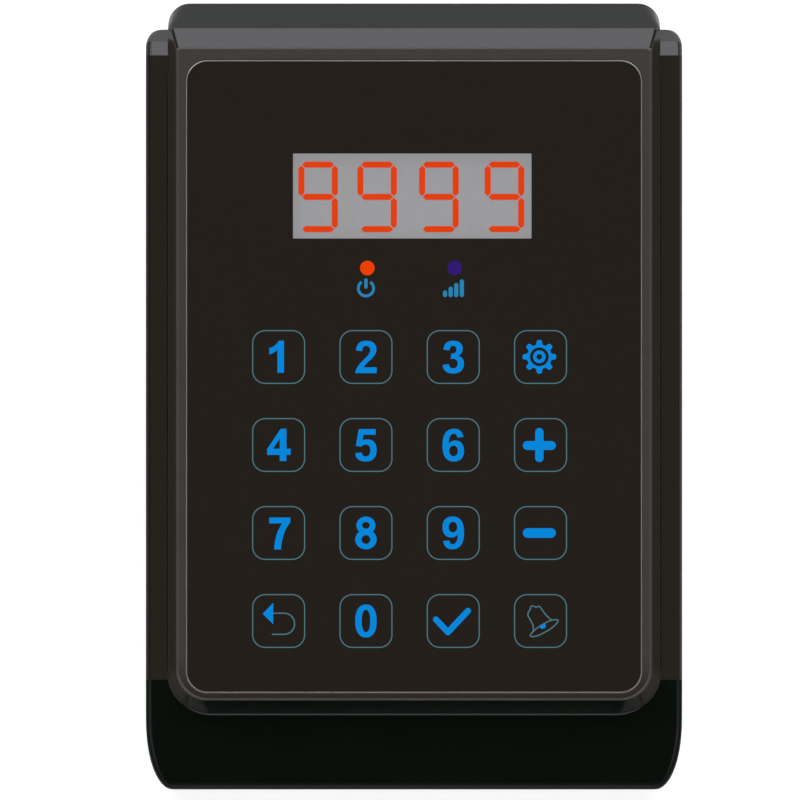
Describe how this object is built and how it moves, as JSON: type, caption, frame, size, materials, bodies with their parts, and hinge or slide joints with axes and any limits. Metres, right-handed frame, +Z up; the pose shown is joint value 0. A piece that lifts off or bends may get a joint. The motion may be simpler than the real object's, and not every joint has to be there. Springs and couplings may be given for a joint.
{
  "type": "guest pager keypad console",
  "caption": "Desk keypad console of a guest paging system: a wedge housing with a raised glossy touch panel, a lit digit display and two indicator lamps.",
  "frame": {"origin": "on the desk, under the middle of the housing's length and width", "axes": "+X to the user's right, +Y away from the user, +Z up; the face is tilted 8 degrees towards the user"},
  "size_m": [0.1074, 0.1562, 0.0386],
  "materials": {
    "gloss_housing": "polished near-black moulding",
    "matt_cover": "fine spark texture",
    "panel": "polished clear sheet, printed warm black on its back",
    "adhesive": "matt foam tape",
    "white_plastic": "matt white",
    "conductive_rubber": "matt",
    "lamp_chip": "clear resin",
    "display_grey": "matt grey ink",
    "segment_orange": "lit translucent resin",
    "lamp_orange": "diffused resin",
    "lamp_violet": "diffused resin",
    "board_green": "solder mask",
    "chip_black": "matt epoxy",
    "module_blue": "solder mask with a tinned can",
    "spring_wire": "gold flash",
    "buzzer_black": "matt",
    "capacitor_sleeve": "shrunk film sleeve",
    "tinned_steel": "bright zinc",
    "lead_insulation": "smooth vinyl",
    "socket_black": "glass-filled plastic",
    "nickel": "nickel plate",
    "switch_black": "fine matt",
    "rocker_black": "satin",
    "contact_brass": "bare strip",
    "foot_rubber": "matt"
  },
  "bodies": {
    "console": {"top_shell": "gloss_housing", "bottom_cover": "matt_cover", "touch_panel": "panel", "panel_adhesive": "adhesive", "light_frame": "white_plastic", "touch_sleeves": "conductive_rubber", "backlight_lamps": "lamp_chip", "display_module": "display_grey", "display_segments": "segment_orange", "display_pins": "tinned_steel", "power_led": "lamp_orange", "signal_led": "lamp_violet", "circuit_board": "board_green", "board_screws": "tinned_steel", "touch_controller": "chip_black", "main_controller": "chip_black", "radio_module": "module_blue", "radio_antenna": "spring_wire", "buzzer": "buzzer_black", "voltage_regulator": "chip_black", "filter_capacitor": "capacitor_sleeve", "lead_connector": "white_plastic", "power_leads": "lead_insulation", "power_socket": "socket_black", "socket_pin": "nickel", "socket_tags": "tinned_steel", "socket_nut": "nickel", "switch_housing": "switch_black", "switch_terminals": "contact_brass", "housing_screws": "tinned_steel", "rubber_feet": "foot_rubber"},
    "rocker": {"switch_rocker": "rocker_black"}
  },
  "joints": [
    {"name": "rocker_tilt", "type": "hinge", "parent": "console", "child": "rocker", "pos_m": [-0.011, 0.07208, 0.0164], "axis": [0, 0, 1], "range_deg": [0, 18]}
  ]
}
